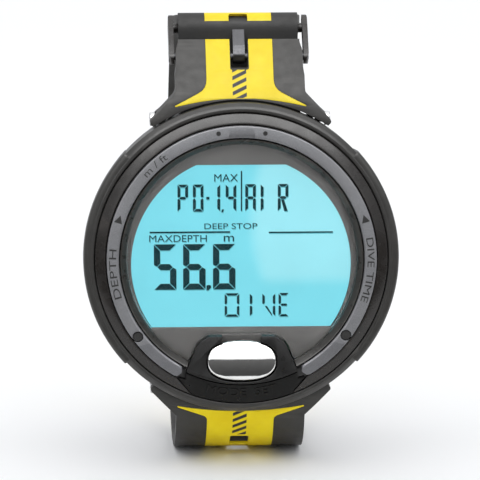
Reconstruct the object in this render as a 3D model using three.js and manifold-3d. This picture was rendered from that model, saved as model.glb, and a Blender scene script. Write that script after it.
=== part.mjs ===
// A wrist dive computer: a round case with one push button, on a buckled rubber strap.
//
// Millimetres. The origin is the centre of the case's flat back, +Z runs to twelve o'clock and the
// face looks along -Y, so the wrist is on the +Y side. Depths are y values: more negative is nearer
// the front. Pieces that touch on the real object keep a clearance of `gap` here.
import * as THREE from "three";
import { mergeVertices } from "three/addons/utils/BufferGeometryUtils.js";
import Module from "manifold-3d";

// ---- driving dimensions ----
const gap = 0.3;
const caseRadius = 35.6;
const guardRadius = 36.0;
const guardHalfAngle = 42.5;
const guardFront = -15.6;
const caseBackRadius = 35.1;
const rimRadius = 34.8;
const rimInner = 33.6;
const rimFront = -15.7;
const sideFront = -14.4;
const backFlatRadius = 31.0;
const backBevelDepth = -5.5;
const backWall = -2.0;
const cavityRadius = 26.5;

const bezel = { outer: 33.3, inner: 30.9, outerFront: -15.9, innerFront: -17.2 };
const trim = { outer: 30.7, inner: 27.95, outerFront: -17.8, innerFront: -18.2, endAngle: 28 };
const retainer = { outer: 27.65, inner: 26.35, outerFront: -18.2, innerFront: -16.7 };
const ringSeat = -14.4;
const lens = { radius: 26.05, flange: 27.2, front: -16.3, step: -15.2, back: -14.3 };
const lensLedge = -13.3;
const display = { radius: 25.05, centre: -1.6, top: 21.3, bottom: -16.0 };

const button = { x: 0, z: -23.4, width: 15.7, height: 9.2, front: -17.9, back: -15.2 };
const surroundRadius = 28.75;
const stemRadius = 1.4;
const wellTop = -14.2;
const wellBottom = -10.8;

const batteryRadius = 12.25;
const batteryThickness = 3.0;
const batteryFront = -5.6;
const capRadius = 14.0;
const capDepth = -2.3;
const board = { radius: 25.4, front: -8.0, back: -7.0 };
const boardScrewRadius = 22.8;
const sensorHeight = 21.0;

const strapHalfWidth = 14.75;
const inlayHalfWidth = 7.65;
const inlayThickness = 0.8;
const slotWidth = 4.0;
const slotLength = 6.2;
const slotCount = 15;
const shoulderHalfWidth = 20.9;
const strapPin = { y: -7.0, z: 31.0, radius: 0.9, half: 16.8 };
const tongueHalfWidth = 13.7;
const tailHalfWidth = 13.7;

const hinge = { y: -2.25, z: 44.65, radius: 0.9 };
const farBar = { y: 4.4, z: 50.4, radius: 1.1 };
const frameHalfWidth = 16.0;
const frameArm = 1.2;
const ringSteps = 48;

const wasm = await Module();
wasm.setup();

// ---- solids ----
// A closed three.js geometry as a solid with its faces pointing out.
function solid(geometry) {
  const source = geometry.clone();
  source.deleteAttribute("normal");
  source.deleteAttribute("uv");
  const merged = mergeVertices(source, 1e-4);
  const vertProperties = new Float32Array(merged.attributes.position.array);
  const triVerts = new Uint32Array(merged.index.array);
  const made = new wasm.Manifold(new wasm.Mesh({ numProp: 3, vertProperties, triVerts }));
  if (made.volume() > 0) return made;
  for (let i = 0; i < triVerts.length; i += 3) {
    [triVerts[i + 1], triVerts[i + 2]] = [triVerts[i + 2], triVerts[i + 1]];
  }
  return new wasm.Manifold(new wasm.Mesh({ numProp: 3, vertProperties, triVerts }));
}

// A solid back as three.js geometry.
function geometryOf(body) {
  const mesh = body.getMesh();
  const geometry = new THREE.BufferGeometry();
  geometry.setAttribute("position", new THREE.BufferAttribute(mesh.vertProperties, 3));
  geometry.setIndex(new THREE.BufferAttribute(mesh.triVerts, 1));
  geometry.computeVertexNormals();
  return geometry;
}

// A ring or disc about the Y axis through (x, z), from [radius, depth] corners.
function turned(corners, steps = ringSteps, x = 0, z = 0) {
  const profile = corners.map(([r, y]) => new THREE.Vector2(r, y));
  profile.push(profile[0].clone());
  return solid(new THREE.LatheGeometry(profile, steps).translate(x, 0, z));
}

// A cylinder along Y, between two depths.
function discY(radius, front, back, x = 0, z = 0, steps = 24) {
  return turned([[0, front], [radius, front], [radius, back], [0, back]], steps, x, z);
}

// A cylinder along X, between two x values.
function rodX(radius, from, to, y, z, steps = 16) {
  const rod = new THREE.CylinderGeometry(radius, radius, to - from, steps);
  return solid(rod.rotateZ(Math.PI / 2).translate((from + to) / 2, y, z));
}

// A round-section ring about the Y axis.
function ringSeal(radius, thickness, y, steps, x = 0, z = 0) {
  const section = [...Array(6).keys()].map((i) => {
    const a = (i * Math.PI) / 3;
    return [radius + (thickness / 2) * Math.cos(a), y + (thickness / 2) * Math.sin(a)];
  });
  return turned(section, steps, x, z);
}

// An outline in x and z, extruded between two depths.
function plate(outline, front, back, curveSegments = 12) {
  const isList = Array.isArray(outline);
  const shape = isList ? new THREE.Shape(outline.map(([x, z]) => new THREE.Vector2(x, z))) : outline;
  const settings = { depth: back - front, bevelEnabled: false, curveSegments };
  return solid(new THREE.ExtrudeGeometry(shape, settings).rotateX(Math.PI / 2).translate(0, back, 0));
}

// A box between two corners.
function block(x0, x1, y0, y1, z0, z1) {
  const box = new THREE.BoxGeometry(x1 - x0, y1 - y0, z1 - z0);
  return solid(box.translate((x0 + x1) / 2, (y0 + y1) / 2, (z0 + z1) / 2));
}

// An outline with its own mirror image across x = 0: the corners of the right half, top to bottom.
function mirrored(corners) {
  return [...corners, ...corners.map(([x, z]) => [-x, z]).reverse()];
}

// A side profile in y and z, extruded across the strap.
const acrossStrap = new THREE.Matrix4().makeBasis(
  new THREE.Vector3(0, 1, 0),
  new THREE.Vector3(0, 0, 1),
  new THREE.Vector3(1, 0, 0),
);
function sideProfile(corners, halfWidth) {
  const shape = new THREE.Shape(corners.map(([y, z]) => new THREE.Vector2(y, z)));
  const settings = { depth: 2 * halfWidth, bevelEnabled: false };
  return solid(new THREE.ExtrudeGeometry(shape, settings).translate(0, 0, -halfWidth).applyMatrix4(acrossStrap));
}

const polar = (radius, degrees) => {
  const a = (degrees * Math.PI) / 180;
  return [radius * Math.cos(a), radius * Math.sin(a)];
};

// ---- nodes ----
const group = new THREE.Group();
function add(name, body, colour, roughness, metalness = 0) {
  const material = new THREE.MeshStandardMaterial({ color: colour, roughness, metalness });
  const mesh = new THREE.Mesh(geometryOf(body), material);
  mesh.name = name;
  group.add(mesh);
}
const colours = {
  casing: 0x45443f, bezel: 0x2d2823, silver: 0x949498, black: 0x1a1a18, glass: 0xdfe8ea,
  lcd: 0x81deed, rubber: 0x504f4c, yellow: 0xfbe62a, steel: 0xb8b8b8, chrome: 0xf2f1ee,
  board: 0x1f6b3a, seal: 0x222222, brass: 0xb99a52, diffuser: 0xe9f4f6,
};

// ---- the button's place in the front ----
// The outline of the horseshoe round the button, grown outwards by `grow`.
const surroundOutline = (grow, bottom) =>
  mirrored([
    [7.7 + grow / 2, -17.8 + grow],
    [9.4 + grow, -19.4 + grow / 2],
    [12.6 + grow, -25.4],
    [13.4 + grow, bottom],
  ]);

// The button's outline, between an ellipse and a rectangle.
const ovalFullness = 2.45;
function oval(width, height) {
  const bend = (value) => Math.sign(value) * Math.abs(value) ** (2 / ovalFullness);
  const corners = [...Array(32).keys()].map((i) => polar(1, (360 / 32) * (i + 0.5)));
  return corners.map(([c, s]) => [button.x + (bend(c) * width) / 2, button.z + (bend(s) * height) / 2]);
}

// ---- case ----
const tub = turned([
  [0, 0], [backFlatRadius, 0], [33.6, -1.1], [34.7, -3.0], [caseBackRadius, backBevelDepth],
  [caseRadius, sideFront], [rimRadius, sideFront - 0.8], [rimRadius, rimFront + 0.4],
  [rimRadius - 0.4, rimFront], [rimInner, rimFront], [rimInner, ringSeat],
  [28.9, ringSeat], [28.9, lensLedge], [cavityRadius, lensLedge],
  [cavityRadius, backWall], [0, backWall],
]);

function guard(side) {
  const ring = turned([
    [rimRadius - 1, guardFront], [guardRadius - 0.4, guardFront], [guardRadius, guardFront + 0.4],
    [guardRadius, sideFront], [guardRadius - 0.6, backBevelDepth - 0.4], [guardRadius - 1.2, backBevelDepth],
    [rimRadius - 1, backBevelDepth],
  ]);
  const [x, z] = polar(60, guardHalfAngle);
  return ring.intersect(plate([[0, 0], [side * x, z], [side * x, -z]], -20, 5));
}

// The solid block that carries the button, behind the horseshoe.
const buttonWell = plate(surroundOutline(0, -26.2), wellTop, wellBottom);
const batteryCup = discY(15.8, -6.6, backWall + 0.5, 0, 0, 36);
const boardBosses = [...Array(4).keys()].map((i) => {
  const [x, z] = polar(boardScrewRadius, 45 + 90 * i);
  return { x, z, boss: discY(2.4, board.back + gap, backWall + 0.5, x, z, 12) };
});
const strapPocket = (side) =>
  block(-tongueHalfWidth - gap, tongueHalfWidth + gap, strapPin.y - 3.5, strapPin.y + 3.5,
    Math.min(side * 27.5, side * 40), Math.max(side * 27.5, side * 40));

// What a strap pin and its two screw heads take out of the case and out of a strap half.
function pinBore(side) {
  const bore = rodX(strapPin.radius + gap, -40, 40, strapPin.y, side * strapPin.z);
  const heads = [1, -1].map((end) =>
    rodX(1.9, end > 0 ? 19.0 : -30, end > 0 ? 30 : -19.0, strapPin.y, side * strapPin.z));
  return bore.add(heads[0]).add(heads[1]);
}

let caseBody = tub.add(guard(1)).add(guard(-1)).add(buttonWell).add(batteryCup);
boardBosses.forEach(({ boss }) => {
  caseBody = caseBody.add(boss);
});
[
  strapPocket(1),
  strapPocket(-1),
  pinBore(1),
  pinBore(-1),
  discY(capRadius + gap, capDepth - gap, 1, 0, 0, 48),
  discY(batteryRadius + 0.9, -6.0, 1, 0, 0, 28),
  discY(3.4, -15, -12.6, button.x, button.z),
  discY(2.7, -13, -11.6, button.x, button.z),
  discY(stemRadius + gap, -15, -10, button.x, button.z),
  discY(4.9, -1.2, 1, 0, sensorHeight),
  discY(2.2, -3, 1, 0, sensorHeight),
  block(-0.8, 0.8, -7, -5.9, -0.8, 0.8),
  block(-11.6, -10.0, -7, -5.9, -1.4, 1.4),
  ...boardBosses.map(({ x, z }) => discY(1.0, -7, -3, x, z, 10)),
].forEach((cut) => {
  caseBody = caseBody.subtract(cut);
});
add("case_body", caseBody, colours.casing, 0.45);

// ---- front rings ----
const bezelGap = plate(mirrored([[15.5, -20], [15.3, -26.8], [11.4, -31.5], [11.4, -40]]), -20, 5);
const frontBezel = turned([
  [bezel.inner, ringSeat - gap], [bezel.outer, ringSeat - gap], [bezel.outer, bezel.outerFront],
  [bezel.outer - 0.2, bezel.outerFront - 0.2], [bezel.inner + 0.2, bezel.innerFront],
  [bezel.inner, bezel.innerFront + 0.2],
]).subtract(bezelGap);
add("front_bezel", frontBezel, colours.bezel, 0.35);

const [trimGapX, trimGapZ] = polar(60, -90 + trim.endAngle);
const trimGap = plate([[0, 0], [trimGapX, trimGapZ], [-trimGapX, trimGapZ]], -20, 5);
const studs = [1, -1].map((side) => ({ side, x: side * 23.7, z: -17.5 }));
let trimRing = turned([
  [trim.inner + 0.95, ringSeat - gap], [trim.outer, ringSeat - gap], [trim.outer, trim.outerFront],
  [trim.outer - 0.2, trim.outerFront - 0.15], [trim.inner + 0.7, trim.innerFront],
  [trim.inner, trim.innerFront + 0.1], [trim.inner, lens.step - gap], [trim.inner + 0.95, lens.step - gap],
]).subtract(trimGap);
trimRing = trimRing.subtract(block(-2.9, 2.9, -20, -17.7, 27, 28.7));
studs.forEach(({ x, z }) => {
  trimRing = trimRing.subtract(discY(1.3, -20, -16.6, x, z, 16));
});
add("trim_ring", trimRing, colours.silver, 0.4, 0.7);
studs.forEach(({ side, x, z }) => {
  add(side > 0 ? "contact_stud_right" : "contact_stud_left", discY(1.0, -17.9, -16.9, x, z, 16),
    colours.steel, 0.35, 0.9);
});

const wellClearance = plate(surroundOutline(gap, -40), -20, -13.5);
const lensRetainer = turned([
  [retainer.inner, lens.step - gap], [retainer.outer, lens.step - gap],
  [retainer.outer, retainer.outerFront + 0.1], [retainer.outer - 0.2, retainer.outerFront],
  [retainer.inner, retainer.innerFront],
]).subtract(wellClearance);
add("lens_retainer", lensRetainer, colours.black, 0.3);

const lensBody = turned([
  [0, lens.front], [lens.radius - 0.2, lens.front], [lens.radius, lens.front + 0.2], [lens.radius, lens.step],
  [lens.flange, lens.step], [lens.flange, lens.back], [0, lens.back],
]).subtract(wellClearance);
add("lens", lensBody, colours.glass, 0.05);
add("lens_seal", ringSeal(28.1, 0.8, lensLedge - gap - 0.4, 36).subtract(wellClearance), colours.seal, 0.7);

// ---- display ----
// The outline of a disc about the display's centre, cut flat at the top and the bottom.
function displayOutline(radius, top, bottom) {
  const from = Math.asin((bottom - display.centre) / radius);
  const to = Math.asin((top - display.centre) / radius);
  const shape = new THREE.Shape();
  shape.absarc(0, display.centre, radius, from, to, false);
  shape.absarc(0, display.centre, radius, Math.PI - to, Math.PI - from, false);
  return shape;
}
const maskDisc = discY(27.0, -14.0, -13.6, 0, 0, ringSteps);
const maskWindow = plate(displayOutline(display.radius, display.top, display.bottom), -15, -13, 24);
add("display_mask", maskDisc.subtract(maskWindow).subtract(plate(surroundOutline(gap, -40), -15, -13)),
  colours.black, 0.6);
add("lcd_panel", plate(displayOutline(25.0, 22.4, -17.2), -13.3, -11.7, 20), colours.lcd, 0.2);
add("backlight_diffuser", plate(displayOutline(24.4, 17.6, -14.6), -11.4, -10.4, 12), colours.diffuser, 0.6);
add("zebra_strip_upper", block(-12, 12, -11.4, board.front - gap, 18.4, 20.6), colours.seal, 0.7);
add("zebra_strip_lower", block(-14, 14, -11.4, board.front - gap, -17.1, -15.2), colours.seal, 0.7);

// ---- circuit board ----
let boardBody = discY(board.radius, board.front, board.back, 0, 0, 36);
boardBosses.forEach(({ x, z }) => {
  boardBody = boardBody.subtract(discY(1.1, -9, -6, x, z, 10));
});
add("circuit_board", boardBody, colours.board, 0.5);
boardBosses.forEach(({ x, z }, i) => {
  const head = discY(1.7, board.front - gap - 0.7, board.front - gap, x, z, 12);
  const shank = discY(0.7, board.front - gap - 0.3, -4.2, x, z, 8);
  add(`board_screw_${i + 1}`, head.add(shank), colours.steel, 0.3, 1);
});
const boardBack = board.back + gap;
add("processor_chip", block(-22.6, -17.2, boardBack, boardBack + 1.0, -2.7, 2.7), colours.black, 0.5);
add("quartz_crystal", block(17.4, 20.2, boardBack, boardBack + 1.1, 6.6, 8.4), colours.steel, 0.3, 0.9);
add("piezo_buzzer", discY(4.6, -3.7, backWall - gap, 21.2, 0, 24), colours.brass, 0.35, 0.9);
add("switch_dome", discY(2.4, -8.8, board.front - gap, button.x, button.z, 16), colours.steel, 0.3, 0.9);

// ---- depth sensor, behind its vented port in the back ----
const sensorCan = discY(3.9, boardBack, backWall - gap - 0.9, 0, sensorHeight, 20);
const sensorNose = discY(1.5, backWall - 1.2, -1.5, 0, sensorHeight, 12);
add("pressure_sensor", sensorCan.add(sensorNose), colours.steel, 0.3, 0.9);
add("pressure_sensor_seal", ringSeal(3.1, 0.6, backWall - 0.6, 20, 0, sensorHeight), colours.seal, 0.7);
let portCover = discY(4.6, -0.9, 0, 0, sensorHeight, 24);
for (let i = 0; i < 3; i += 1) {
  const [x, z] = polar(1.7, 90 + 120 * i);
  portCover = portCover.subtract(discY(0.5, -2, 1, x, sensorHeight + z, 10));
}
add("sensor_port_cover", portCover, colours.black, 0.5);

// ---- battery, its contacts and its screw cap ----
const batteryBack = batteryFront + batteryThickness;
add("battery", turned([
  [0, batteryFront], [batteryRadius - 1.5, batteryFront], [batteryRadius - 1.2, batteryFront + 0.4],
  [batteryRadius, batteryFront + 0.5], [batteryRadius, batteryBack - 0.2], [batteryRadius - 0.2, batteryBack],
  [0, batteryBack],
], 36), colours.steel, 0.3, 0.9);
const contactNegative = block(-0.5, 0.5, board.back + gap, -5.95, -0.5, 0.5)
  .add(block(-0.5, 5.5, -5.98, -5.88, -1.4, 1.4));
add("battery_contact_negative", contactNegative, colours.brass, 0.3, 0.9);
const contactPositive = block(-12.9, -12.6, -5.6, -3.4, -1.1, 1.1)
  .add(block(-12.9, -10.3, -5.95, -5.85, -1.1, 1.1))
  .add(block(-12.9, -12.6, -5.95, -5.5, -1.1, 1.1))
  .add(block(-11.3, -10.3, board.back + gap, -5.85, -1.1, 1.1));
add("battery_contact_positive", contactPositive, colours.brass, 0.3, 0.9);

let batteryCap = turned([
  [0, capDepth], [capRadius - 1.6, capDepth], [capRadius - 1.6, -0.95], [capRadius, -0.75],
  [capRadius, -0.1], [capRadius - 0.1, 0], [0, 0],
], 48);
const keyRecess = (side) => {
  const kidney = turned([[6.6, -1.2], [9.4, -1.2], [9.4, 1], [6.6, 1]], 36);
  return kidney.intersect(plate([[0, 0], [side * 14, 6.5], [side * 14, -6.5]], -3, 3));
};
batteryCap = batteryCap.subtract(keyRecess(1)).subtract(keyRecess(-1));
add("battery_cap", batteryCap, colours.casing, 0.45);
add("battery_cap_seal", ringSeal(capRadius - 0.75, 0.8, -1.65, 28), colours.seal, 0.7);

// ---- push button ----
const surround = plate(surroundOutline(0, -30), button.front + 0.2, wellTop - gap)
  .intersect(discY(surroundRadius, -20, -10, 0, 0, ringSteps))
  .subtract(plate(oval(button.width + 2 * gap, button.height + 2 * gap), -20, -10))
  .subtract(block(-4.5, 4.5, -20, -10, -20, -17));
add("button_surround", surround, colours.casing, 0.3);

const capShape = new THREE.Shape(oval(button.width - 0.5, button.height - 0.5).map(([x, z]) => new THREE.Vector2(x, z)));
const capBevel = {
  depth: button.back - button.front - 0.6, bevelThickness: 0.3, bevelSize: 0.25, bevelSegments: 1,
};
const capGeometry = new THREE.ExtrudeGeometry(capShape, capBevel);
add("button_cap", solid(capGeometry.rotateX(Math.PI / 2).translate(0, button.back - 0.3, 0)),
  colours.chrome, 0.06, 1);

const stemEnd = -9.9;
const clipGroove = { front: stemEnd - 0.6, back: stemEnd - 0.2, radius: 1.0 };
add("button_stem", turned([
  [0, button.back + gap], [stemRadius, button.back + gap], [stemRadius, clipGroove.front - 0.05],
  [clipGroove.radius, clipGroove.front - 0.05], [clipGroove.radius, clipGroove.back + 0.05],
  [stemRadius, clipGroove.back + 0.05], [stemRadius, stemEnd], [0, stemEnd],
], 16, button.x, button.z), colours.steel, 0.3, 0.9);
const clipRing = turned([
  [1.15, clipGroove.front + 0.05], [2.5, clipGroove.front + 0.05], [2.5, clipGroove.back - 0.05],
  [1.15, clipGroove.back - 0.05],
], 16, button.x, button.z);
const clipMouth = block(button.x - 0.9, button.x + 0.9, -12, -9, button.z - 4, button.z);
add("button_clip", clipRing.subtract(clipMouth), colours.steel, 0.3, 0.9);
add("button_seal", ringSeal(2.2, 0.7, -12.05, 20, button.x, button.z), colours.seal, 0.7);

const spring = { radius: 2.85, wire: 0.3, turns: 2.5, front: -14.75, back: -13.05 };
class Helix extends THREE.Curve {
  getPoint(t) {
    const a = 2 * Math.PI * spring.turns * t;
    const y = spring.front + (spring.back - spring.front) * t;
    return new THREE.Vector3(button.x + spring.radius * Math.cos(a), y, button.z + spring.radius * Math.sin(a));
  }
}
const wireSection = new THREE.Shape().absarc(0, 0, spring.wire / 2, 0, 2 * Math.PI);
const springSettings = { extrudePath: new Helix(), steps: 30, bevelEnabled: false, curveSegments: 3 };
add("button_spring", solid(new THREE.ExtrudeGeometry(wireSection, springSettings)), colours.steel, 0.3, 0.9);

// ---- name plate ----
const namePlate = turned([
  [surroundRadius + gap, ringSeat - gap], [bezel.outer, ringSeat - gap], [bezel.outer, bezel.outerFront],
  [surroundRadius + gap + 0.2, -17.3], [surroundRadius + gap, -17.1],
]).intersect(plate(mirrored([[12.0, -20], [12.8, -27.7], [14.8, -27.1], [11.05, -31.4], [11.05, -40]]), -20, 5));
add("name_plate", namePlate, colours.black, 0.4);

// ---- strap ----
// Points along a smooth line through a few (y, z) places, each with the direction across the strap's
// thickness, pointing to the inside of the loop.
function strapLine(places, count, turn) {
  const curve = new THREE.SplineCurve(places.map(([y, z]) => new THREE.Vector2(y, z)));
  return curve.getSpacedPoints(count).map((point, i) => {
    const tangent = curve.getTangentAt(i / count);
    return { point, inward: new THREE.Vector2(tangent.y * turn, -tangent.x * turn), t: i / count };
  });
}

// A layer of the strap between two depths below its outer face; a depth may vary along the line.
function strapLayer(line, from, to, halfWidth) {
  const at = ({ point, inward, t }, depth) => {
    const d = typeof depth === "function" ? depth(t) : depth;
    return [point.x + inward.x * d, point.y + inward.y * d];
  };
  const outer = line.map((p) => at(p, from));
  const inner = line.map((p) => at(p, to)).reverse();
  return sideProfile([...outer, ...inner], halfWidth);
}

// The inlay's outline, from its two points beside the case up to `end`. Its edge at the case is an arc
// that is flatter than the case, so the points have black rubber on both sides.
const inlayTips = { 1: { x: 14.9, z: 34.3, shoulder: 39.5 }, [-1]: { x: 14.5, z: 34.8, shoulder: 38.6 } };
const inlayOutline = (grow, side, end) => {
  const tip = inlayTips[side];
  const middle = 36.15;
  const foot = [1, 0.7, 0.35, 0.15].map((k) => [k * tip.x, middle - (middle - tip.z) * k * k]);
  return mirrored([
    [inlayHalfWidth + grow, side * end], [inlayHalfWidth + grow, side * tip.shoulder],
    [8.6 + grow, side * (tip.shoulder - 1.9 + grow)], [tip.x + grow, side * (tip.z + 0.3 + grow)],
    ...foot.map(([x, z]) => [x === tip.x ? x + grow : x, side * (z - grow)]),
  ]);
};
const caseClearance = discY(caseRadius + gap, -25, 5, 0, 0, ringSteps);

// The knuckle that sits in the case's pocket, round the strap pin.
function strapTongue(side) {
  const web = block(-tongueHalfWidth, tongueHalfWidth, strapPin.y - 3.2, strapPin.y + 3.2,
    Math.min(side * strapPin.z, side * 37.2), Math.max(side * strapPin.z, side * 37.2));
  return rodX(3.2, -tongueHalfWidth, tongueHalfWidth, strapPin.y, side * strapPin.z, 24).add(web);
}

const shoulderThickness = (t, reach, thick, thin) => {
  const k = Math.min(1, t / reach);
  return thick + (thin - thick) * k * k * (3 - 2 * k);
};

// Upper half: short, from the case to the buckle.
const upperLine = strapLine(
  [[-12.3, 29.4], [-12.2, 32.5], [-11.5, 35.8], [-8.9, 39.9], [-5.4, 44.6], [-1.9, 48.6]], 20, 1);
const upperDepth = (t) => shoulderThickness(t, 0.62, 8.2, 4.1) - 160 * Math.max(0, t - 0.9) ** 2;
const upperOutline = plate(mirrored([
  [13.9, 60], [13.9, 48.4], [14.5, 46.8], [14.5, 42.6], [strapHalfWidth, 41.4], [strapHalfWidth, 37.2],
  [shoulderHalfWidth, 30.8], [19.6, 29.6],
]), -30, 10);
let strapUpper = strapLayer(upperLine, 0, upperDepth, 25)
  .intersect(upperOutline)
  .subtract(caseClearance)
  .add(strapTongue(1))
  .subtract(pinBore(1))
  .subtract(strapLayer(upperLine, -1, inlayThickness + gap, 25)
    .intersect(plate(inlayOutline(gap, 1, 60), -30, 10)))
  .subtract(block(-slotWidth / 2, slotWidth / 2, -30, 10, 42.3, 60))
  .subtract(rodX(hinge.radius + gap, -30, 30, hinge.y, hinge.z));
add("strap_upper", strapUpper, colours.rubber, 0.75);
const upperInlay = strapLayer(upperLine, 0, inlayThickness, 25)
  .intersect(plate(inlayOutline(0, 1, 60), -30, 10))
  .subtract(caseClearance)
  .subtract(block(-slotWidth / 2 - gap, slotWidth / 2 + gap, -30, 10, 42.0, 60));
add("strap_upper_inlay", upperInlay, colours.yellow, 0.6);

// Lower half: long. It goes under and round the wrist, over the buckle's far bar, down through the
// frame, and ends inside the upper half.
const barWrap = (degrees, radius) => {
  const a = (degrees * Math.PI) / 180;
  return [farBar.y + radius * Math.sin(a), farBar.z + radius * Math.cos(a)];
};
const wrapRadius = 3.6;
const tailThickness = 2.2;
const lowerLine = strapLine([
  [-12.3, -29.4], [-12.2, -32.5], [-11.5, -35.8], [-9.2, -39.7], [-5.0, -43.6], [0.8, -46.4], [8.5, -47.9],
  [18, -47.8], [28, -45.2], [37.5, -39], [45, -28.5], [49.3, -15], [50.2, 0], [47.8, 14.5], [42.2, 28],
  [33.5, 39.3], [23, 47.2], [13.6, 51.9], barWrap(35, wrapRadius), barWrap(0, wrapRadius),
  barWrap(-35, wrapRadius), barWrap(-70, wrapRadius), [0.8, 49.3], [0.8, 47.2], [0.7, 45.0],
  [0.1, 42.9], [-0.2, 40.8], [0.3, 38.4], [1.2, 35.6], [2.2, 32.4], [2.9, 29.0],
], 84, -1);
const lowerDepth = (t) => shoulderThickness(t, 0.07, 8.2, tailThickness + 0.6 * Math.max(0, 1 - 3 * t));
const lowerFlare = mirrored([
  [19.6, -29.6], [shoulderHalfWidth, -30.8], [strapHalfWidth, -37.2], [strapHalfWidth, -37.3],
]);
const lowerOutline = plate(lowerFlare, -30, -2)
  .add(plate(mirrored([[strapHalfWidth, 70], [strapHalfWidth, -70]]), -30, 60));

// A cutter through the strap at part t of its line.
function slotCutter(line, t, width, length) {
  const { point, inward } = line[Math.round(t * (line.length - 1))];
  const angle = Math.atan2(inward.y, inward.x);
  const box = new THREE.BoxGeometry(width, 12, length).rotateX(angle);
  return solid(box.translate(0, point.x + inward.x, point.y + inward.y));
}
// The first slot shows below the case, and the prong goes through the last one.
const placeOf = (line, [y, z]) => {
  const away = line.map(({ point }) => Math.hypot(point.x - y, point.y - z));
  return line[away.indexOf(Math.min(...away))].t;
};
const firstSlot = placeOf(lowerLine, [-3.0, -44.9]);
const lastSlot = placeOf(lowerLine, barWrap(-78, wrapRadius));
const slotPlaces = [...Array(slotCount).keys()].map((i) => firstSlot + ((lastSlot - firstSlot) * i) / (slotCount - 1));

// The tail narrows before the buckle, and the inlay ends where the tail turns down through it.
const tailSides = [1, -1].map((side) => {
  const corners = [[side * tailHalfWidth, -1], [side * tailHalfWidth, 7], [side * 15, 13.5], [side * 30, 13.5], [side * 30, -1]];
  const shape = new THREE.Shape(corners.map(([x, y]) => new THREE.Vector2(x, y)));
  return solid(new THREE.ExtrudeGeometry(shape, { depth: 33, bevelEnabled: false }).translate(0, 0, 27));
});
const inlayEnd = Math.round(placeOf(lowerLine, barWrap(-50, wrapRadius)) * (lowerLine.length - 1));
const inlayLine = lowerLine.slice(0, inlayEnd + 1);

// The flare at the case and the straight run that follows it.
const inlayBand = (grow) => {
  const half = inlayHalfWidth + grow;
  return plate(inlayOutline(grow, -1, 39.6), -30, -2)
    .add(plate(mirrored([[half, -39], [half, -70]]), -30, -2))
    .add(plate(mirrored([[half, 70], [half, -70]]), -2.05, 60));
};

let strapLower = strapLayer(lowerLine, 0, lowerDepth, 25)
  .intersect(lowerOutline)
  .subtract(tailSides[0])
  .subtract(tailSides[1])
  .subtract(caseClearance.intersect(block(-60, 60, -25, 0.2, -60, 20)))
  .add(strapTongue(-1))
  .subtract(pinBore(-1))
  .subtract(strapLayer(inlayLine, -0.25, inlayThickness + gap, 25).intersect(inlayBand(gap)));
let lowerInlay = strapLayer(inlayLine.slice(0, -1), 0, inlayThickness, 25)
  .intersect(inlayBand(0))
  .subtract(caseClearance.intersect(block(-60, 60, -25, 0.2, -60, 20)));
slotPlaces.forEach((t) => {
  strapLower = strapLower.subtract(slotCutter(lowerLine, t, slotWidth, slotLength));
  lowerInlay = lowerInlay.subtract(slotCutter(lowerLine, t, slotWidth + 2 * gap, slotLength + 2 * gap));
});
add("strap_lower", strapLower, colours.rubber, 0.75);
add("strap_lower_inlay", lowerInlay, colours.yellow, 0.6);

// Strap pins, each a tube with a screw in both ends.
[1, -1].forEach((side) => {
  const end = side > 0 ? "upper" : "lower";
  add(`strap_pin_${end}`, rodX(strapPin.radius, -strapPin.half, strapPin.half, strapPin.y, side * strapPin.z),
    colours.steel, 0.25, 1);
  [1, -1].forEach((hand) => {
    const near = hand * (strapPin.half + gap);
    const seat = hand * (19.0 + gap);
    const far = hand * 20.6;
    const shank = rodX(strapPin.radius, Math.min(near, far), Math.max(near, far), strapPin.y, side * strapPin.z);
    const head = rodX(1.6, Math.min(seat, far), Math.max(seat, far), strapPin.y, side * strapPin.z);
    const slit = block(Math.min(hand * 20.2, hand * 22), Math.max(hand * 20.2, hand * 22),
      strapPin.y - 0.25, strapPin.y + 0.25, side * strapPin.z - 3, side * strapPin.z + 3);
    add(`strap_pin_screw_${end}_${hand > 0 ? "right" : "left"}`, shank.add(head).subtract(slit),
      colours.steel, 0.25, 1);
  });
});

// ---- buckle ----
// Directions in the buckle's own plane: along it from the hinge to the far bar, and out of the loop.
const along = new THREE.Vector2(farBar.y - hinge.y, farBar.z - hinge.z).normalize();
const outward = new THREE.Vector2(-along.y, along.x);
const inBuckle = (a, n) => [hinge.y + along.x * a + outward.x * n, hinge.z + along.y * a + outward.y * n];
const barDistance = Math.hypot(farBar.y - hinge.y, farBar.z - hinge.z);

const armProfile = [
  inBuckle(-1.6, -0.8), inBuckle(-1.6, 0.8), inBuckle(-0.8, 1.6), inBuckle(barDistance - 1, 2.0),
  inBuckle(barDistance + 2.3, 1.6), inBuckle(barDistance + 3.4, 0.6), inBuckle(barDistance + 3.4, -1.0),
  inBuckle(barDistance + 2.6, -1.7), inBuckle(-0.8, -1.6),
];
const arms = sideProfile(armProfile, frameHalfWidth)
  .subtract(sideProfile([[-30, 20], [-30, 80], [30, 80], [30, 20]], frameHalfWidth - frameArm));
const buckleFrame = arms
  .add(rodX(farBar.radius, -frameHalfWidth + 0.3, frameHalfWidth - 0.3, farBar.y, farBar.z, 20))
  .subtract(rodX(hinge.radius + gap, -30, 30, hinge.y, hinge.z));
add("buckle_frame", buckleFrame, colours.bezel, 0.35);
add("buckle_pin", rodX(hinge.radius, -frameHalfWidth, frameHalfWidth, hinge.y, hinge.z), colours.steel, 0.25, 1);

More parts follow.
